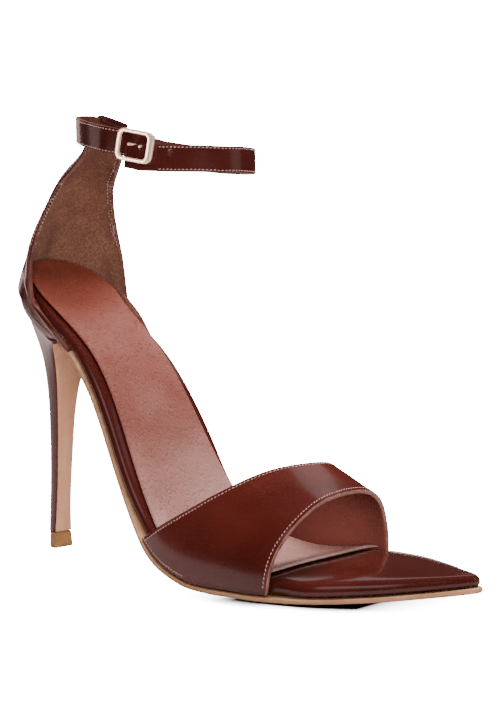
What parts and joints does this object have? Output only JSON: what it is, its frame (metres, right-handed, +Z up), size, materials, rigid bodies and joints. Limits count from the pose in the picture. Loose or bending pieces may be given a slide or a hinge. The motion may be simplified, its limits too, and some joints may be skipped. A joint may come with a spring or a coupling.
{
  "type": "strappy heeled sandal",
  "caption": "High stiletto sandal with a closed heel counter, a buckled ankle strap, a wide vamp strap and an open, pointed toe.",
  "frame": {"origin": "centre of the heel tip's flat bottom, on the floor", "axes": "+X towards the toe, +Y the inner (medial) side, +Z up from the floor"},
  "size_m": [0.2135, 0.0751, 0.1748],
  "materials": {
    "tan_outsole": "satin",
    "board_wrap": "gloss",
    "sock_leather": "satin",
    "heel_wrap": "gloss",
    "breast_leather": "matt",
    "heel_tip": "matt",
    "upper_leather": "gloss",
    "strap_leather": "gloss",
    "buckle_metal": "polished"
  },
  "bodies": {
    "root": {"outsole": "tan_outsole", "insole_board": "board_wrap", "sock_lining": "sock_leather", "heel_block": "heel_wrap", "heel_breast_cover": "breast_leather", "heel_tip": "heel_tip", "heel_counter": "upper_leather", "vamp_strap": "upper_leather", "ankle_strap": "strap_leather", "buckle_strap": "strap_leather", "strap_sleeve": "strap_leather", "buckle_frame": "buckle_metal", "buckle_prong": "buckle_metal"}
  },
  "joints": []
}
